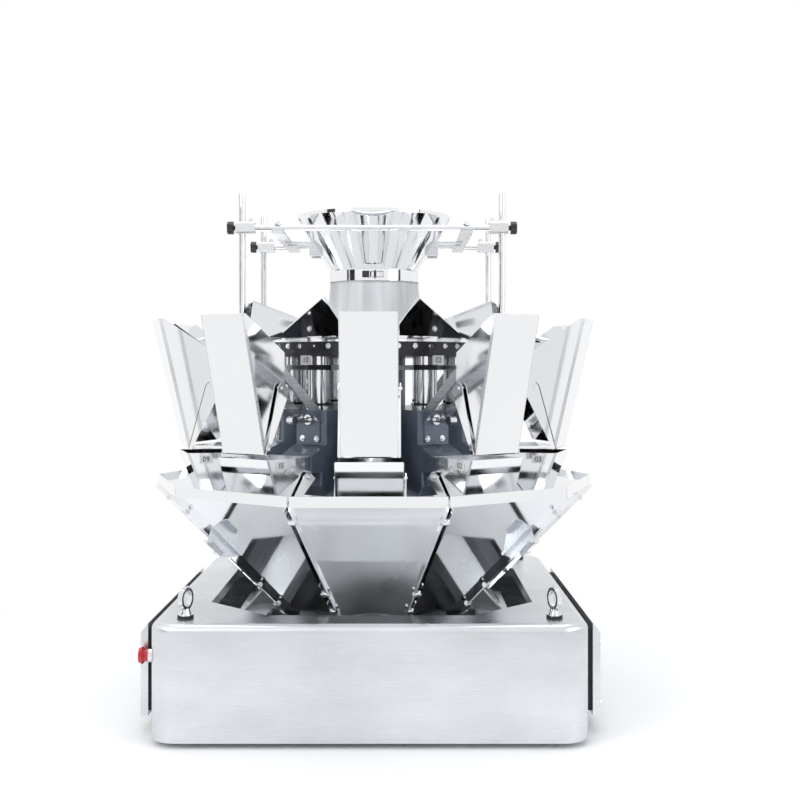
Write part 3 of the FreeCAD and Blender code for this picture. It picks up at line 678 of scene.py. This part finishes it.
class WEIGHER_OT_base_fittings(bpy.types.Operator):
    """Seat the lifting eyes and screw the side covers"""
    bl_idname = "weigher.base_fittings"
    bl_label = "Base fittings"

    def execute(self, context):
        seals = bmesh.new()
        for x in (-EYE, EYE):
            for y in (-EYE, EYE):
                add_rod(seals, (x, y, DECK_Z + 0.0002), (x, y, DECK_Z + 0.0062), 0.0175, 32)
        piece_from(seals, "eye_washers", "black_rubber")
        screws = bmesh.new()
        for side, node in ((-1, "side_cover_left"), (1, "side_cover_right")):
            low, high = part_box(node)
            x = low[0] if side < 0 else high[0]
            for y in (low[1] + 0.03, 0.0, high[1] - 0.03):
                for z in (low[2] + 0.02, high[2] - 0.05):
                    add_bolt(screws, (x, y, z), (side, 0, 0), sizes().bolt_head)
        piece_from(screws, "cover_screws", "chrome_parts")
        return {"FINISHED"}


class WEIGHER_OT_sleeve(bpy.types.Operator):
    """Hang the frosted sleeve in soft folds under the clamp band"""
    bl_idname = "weigher.sleeve"
    bl_label = "Sleeve"

    def execute(self, context):
        low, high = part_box("infeed_sleeve")
        rows, around = 14, 144
        bm = bmesh.new()
        rings = []
        for row in range(rows + 1):
            share = row / rows
            z = low[2] + 0.001 + (high[2] - low[2] - 0.0014) * share
            ring = []
            for step in range(around):
                turn = 2 * math.pi * step / around
                fold = (math.sin(9 * turn + 1.4 * math.sin(2 * turn))
                        + 0.5 * math.sin(17 * turn + 0.8))
                r = (SLEEVE_R + SLEEVE_FLARE * (1 - share) ** 1.3
                     + SLEEVE_FOLD * fold * (0.3 + 0.7 * (1 - share)))
                ring.append(bm.verts.new((r * math.cos(turn), r * math.sin(turn), z)))
            rings.append(ring)
        for a, b in zip(rings, rings[1:]):
            for i in range(around):
                j = (i + 1) % around
                bm.faces.new((a[i], a[j], b[j], b[i]))
        bmesh.ops.recalc_face_normals(bm, faces=bm.faces[:])
        bmesh.ops.solidify(bm, geom=bm.faces[:], thickness=SLEEVE_WALL)
        piece = piece_from(bm, "sleeve_folds", "frosted_plastic", smooth=True)
        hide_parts("infeed_sleeve")
        return {"FINISHED"}


class WEIGHER_OT_studio(bpy.types.Operator):
    """Make the floor, the lamps and the camera"""
    bl_idname = "weigher.studio"
    bl_label = "Studio"

    def execute(self, context):
        scene = context.scene
        scene.view_settings.view_transform = "Standard"
        self.make_floor()
        self.make_world(scene)
        self.make_lamps(scene)
        self.make_flags()
        self.make_camera(scene)
        return {"FINISHED"}

    def make_floor(self):
        bm = bmesh.new()
        half = sizes().floor_size / 2
        bmesh.ops.create_grid(bm, x_segments=8, y_segments=8, size=half)
        mesh = bpy.data.meshes.new("studio_floor")
        bm.to_mesh(mesh)
        bm.free()
        floor = bpy.data.objects.new("studio_floor", mesh)
        bpy.context.scene.collection.objects.link(floor)
        material, tree, shader = new_material("studio_floor_finish")
        shader.inputs["Base Color"].default_value = (0.93, 0.93, 0.935, 1.0)
        shader.inputs["Roughness"].default_value = 0.6
        self.fade_floor(tree, shader)
        mesh.materials.append(material)

    def fade_floor(self, tree, shader):
        """Blends the floor into the white background away from the machine."""
        length = tree.nodes.new("ShaderNodeVectorMath")
        length.operation = "LENGTH"
        tree.links.new(object_coords(tree), length.inputs[0])
        near, far = 0.75, 1.55
        fade = ramp(tree, length.outputs["Value"], 0.0, 1.0, near, far)
        path = tree.nodes.new("ShaderNodeLightPath")
        seen = tree.nodes.new("ShaderNodeMath")
        seen.operation = "MAXIMUM"
        tree.links.new(path.outputs["Is Camera Ray"], seen.inputs[0])
        tree.links.new(path.outputs["Is Glossy Ray"], seen.inputs[1])
        both = tree.nodes.new("ShaderNodeMath")
        both.operation = "MULTIPLY"
        tree.links.new(fade, both.inputs[0])
        tree.links.new(seen.outputs[0], both.inputs[1])
        white = tree.nodes.new("ShaderNodeEmission")
        white.inputs["Color"].default_value = (1.0, 1.0, 1.0, 1.0)
        mix = tree.nodes.new("ShaderNodeMixShader")
        out = next(n for n in tree.nodes if n.type == "OUTPUT_MATERIAL")
        tree.links.new(both.outputs[0], mix.inputs["Fac"])
        tree.links.new(shader.outputs["BSDF"], mix.inputs[1])
        tree.links.new(white.outputs["Emission"], mix.inputs[2])
        tree.links.new(mix.outputs["Shader"], out.inputs["Surface"])

    def make_world(self, scene):
        world = bpy.data.worlds.new("studio_world")
        scene.world = world
        world.use_nodes = True
        tree = world.node_tree
        tree.nodes.clear()
        out = tree.nodes.new("ShaderNodeOutputWorld")
        path = tree.nodes.new("ShaderNodeLightPath")
        seen = tree.nodes.new("ShaderNodeMath")
        seen.operation = "MAXIMUM"
        shiny = tree.nodes.new("ShaderNodeMath")
        shiny.operation = "MAXIMUM"
        tree.links.new(path.outputs["Is Glossy Ray"], shiny.inputs[0])
        tree.links.new(path.outputs["Is Transmission Ray"], shiny.inputs[1])
        tree.links.new(path.outputs["Is Camera Ray"], seen.inputs[0])
        tree.links.new(shiny.outputs[0], seen.inputs[1])
        light = tree.nodes.new("ShaderNodeBackground")
        light.inputs["Color"].default_value = (0.95, 0.97, 1.0, 1.0)
        light.inputs["Strength"].default_value = 0.78
        white = tree.nodes.new("ShaderNodeBackground")
        white.inputs["Color"].default_value = (1.0, 1.0, 1.0, 1.0)
        white.inputs["Strength"].default_value = 1.0
        mix = tree.nodes.new("ShaderNodeMixShader")
        tree.links.new(seen.outputs[0], mix.inputs["Fac"])
        tree.links.new(light.outputs[0], mix.inputs[1])
        tree.links.new(white.outputs[0], mix.inputs[2])
        tree.links.new(mix.outputs[0], out.inputs["Surface"])

    def make_lamps(self, scene):
        lamps = (
            ("key", (-2.6, -2.4, 2.6), 55.0, 2.0),
            ("fill", (2.8, -2.0, 1.9), 35.0, 2.0),
            ("top", (0.0, 0.3, 3.4), 40.0, 2.4),
        )
        for name, place, power, size in lamps:
            data = bpy.data.lights.new(name, "AREA")
            data.energy = power
            data.size = size
            lamp = bpy.data.objects.new(name, data)
            lamp.location = place
            aim = Vector((0, 0, 0.6)) - Vector(place)
            lamp.rotation_euler = aim.to_track_quat("-Z", "Y").to_euler()
            scene.collection.objects.link(lamp)

    def make_flags(self):
        """Dark screens beside the camera that give the sheet metal its contrast."""
        material, _, shader = new_material("flag_finish")
        shader.inputs["Base Color"].default_value = (0.01, 0.01, 0.012, 1.0)
        shader.inputs["Roughness"].default_value = 0.9
        for side in (-1, 1):
            bm = bmesh.new()
            ends = sorted((side * 3.4, side * 3.36))
            add_box(bm, (ends[0], -3.0, 0.6), (ends[1], -1.2, 2.6))
            mesh = bpy.data.meshes.new("flag")
            bm.to_mesh(mesh)
            bm.free()
            flag = bpy.data.objects.new("flag_left" if side < 0 else "flag_right", mesh)
            bpy.context.scene.collection.objects.link(flag)
            mesh.materials.append(material)
            flag.visible_camera = False
            flag.visible_shadow = False

    def make_camera(self, scene):
        data = bpy.data.cameras.new("studio_camera")
        data.sensor_width = 36.0
        data.lens = 52.0
        data.shift_y = -0.0375
        camera = bpy.data.objects.new("studio_camera", data)
        camera.location = (0.065, -2.906, 0.800)
        camera.rotation_euler = (math.radians(90), 0, 0)
        scene.collection.objects.link(camera)
        scene.camera = camera


class WEIGHER_PT_panel(bpy.types.Panel):
    """Buttons for each group of pieces"""
    bl_label = "Combination weigher"
    bl_idname = "WEIGHER_PT_panel"
    bl_space_type = "VIEW_3D"
    bl_region_type = "UI"
    bl_category = "Weigher"

    def draw(self, context):
        for operator in OPERATORS:
            self.layout.operator(operator.bl_idname)


OPERATORS = (
    WEIGHER_OT_dress_frame,
    WEIGHER_OT_sleeve,
    WEIGHER_OT_hopper_folds,
    WEIGHER_OT_number_labels,
    WEIGHER_OT_drive_screws,
    WEIGHER_OT_frame_bolts,
    WEIGHER_OT_band_toggle,
    WEIGHER_OT_seam_hooks,
    WEIGHER_OT_base_fittings,
    WEIGHER_OT_studio,
)

CLASSES = (WeigherFinish, WeigherSizes) + OPERATORS + (WEIGHER_PT_panel,)


def register():
    for item in CLASSES:
        bpy.utils.register_class(item)
    bpy.types.Scene.weigher_finish = bpy.props.PointerProperty(type=WeigherFinish)
    bpy.types.Scene.weigher_sizes = bpy.props.PointerProperty(type=WeigherSizes)


def unregister():
    del bpy.types.Scene.weigher_sizes
    del bpy.types.Scene.weigher_finish
    for item in reversed(CLASSES):
        bpy.utils.unregister_class(item)


def main():
    register()
    for operator in OPERATORS:
        group, name = operator.bl_idname.split(".")
        getattr(getattr(bpy.ops, group), name)()


if __name__ == "__main__":
    main()
